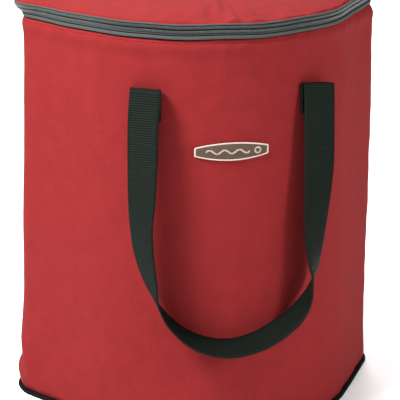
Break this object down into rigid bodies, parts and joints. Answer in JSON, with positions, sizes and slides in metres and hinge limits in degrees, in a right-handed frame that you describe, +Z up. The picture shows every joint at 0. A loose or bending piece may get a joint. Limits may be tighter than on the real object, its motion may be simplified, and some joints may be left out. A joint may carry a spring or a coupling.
{
  "type": "insulated cooler bag",
  "caption": "Soft insulated cooler bag with a half-moon plan, padded zip lid hinged at the back, foil-white liner and webbing carry handles front and back.",
  "frame": {"origin": "middle of the flat base's underside, on the floor", "axes": "+Z up through the lid; -Y is the rounded front with the badge; +X is the bag's left-to-right as seen from the front"},
  "size_m": [0.3738, 0.2634, 0.4186],
  "materials": {
    "shell_fabric": "matte coated polyester",
    "base_fabric": "matte",
    "zip_tape": "matte woven tape",
    "zip_coil": "satin",
    "webbing": "matte ribbed weave",
    "foam": "matte closed-cell foam",
    "liner": "satin heat-sealed film",
    "badge_cloth": "matte woven",
    "badge_thread": "matte thread",
    "slider_metal": "satin"
  },
  "bodies": {
    "root": {"outer_front_panel": "shell_fabric", "outer_back_panel": "shell_fabric", "front_wall_foam": "foam", "back_wall_foam": "foam", "base_cover": "base_fabric", "base_piping": "base_fabric", "base_foam": "foam", "liner": "liner", "rim_binding": "zip_tape", "lower_zip_tape": "zip_tape", "lower_zip_teeth": "zip_coil", "hinge_strip_lower": "zip_tape", "zip_end_patch_left": "base_fabric", "zip_end_patch_right": "base_fabric", "badge_patch": "badge_cloth", "badge_edging": "badge_thread", "front_handle_sewn_end_left": "webbing", "front_handle_sewn_end_right": "webbing", "rear_handle_sewn_end_left": "webbing", "rear_handle_sewn_end_right": "webbing"},
    "lid": {"lid_panel": "shell_fabric", "lid_foam": "foam", "lid_liner": "liner", "lid_binding": "zip_tape", "upper_zip_tape": "zip_tape", "upper_zip_teeth": "zip_coil", "hinge_strip_upper": "zip_tape"},
    "front_handle": {"front_handle_loop": "webbing"},
    "rear_handle": {"rear_handle_loop": "webbing"},
    "zip_slider": {"zip_slider_body": "slider_metal"},
    "zip_pull": {"zip_pull_tab": "slider_metal"}
  },
  "joints": [
    {"name": "lid_hinge", "type": "hinge", "parent": "root", "child": "lid", "pos_m": [0, 0.09555, 0.39685], "axis": [-1, 0, 0], "range_deg": [0, 110]},
    {"name": "front_handle_swing", "type": "hinge", "parent": "root", "child": "front_handle", "pos_m": [0, -0.084, 0.342], "axis": [-1, 0, 0], "range_deg": [0, 150]},
    {"name": "rear_handle_swing", "type": "hinge", "parent": "root", "child": "rear_handle", "pos_m": [0, 0.0996, 0.342], "axis": [1, 0, 0], "range_deg": [0, 140]},
    {"name": "zip_slider_travel", "type": "hinge", "parent": "root", "child": "zip_slider", "pos_m": [0.139, 0.05935, 0.3987], "axis": [0, 0, 1], "range_deg": [-50, 0]},
    {"name": "zip_pull_swing", "type": "hinge", "parent": "zip_slider", "child": "zip_pull", "pos_m": [0.17814, 0.07359, 0.3987], "axis": [0.342, -0.9397, 0], "range_deg": [0, 160]}
  ]
}
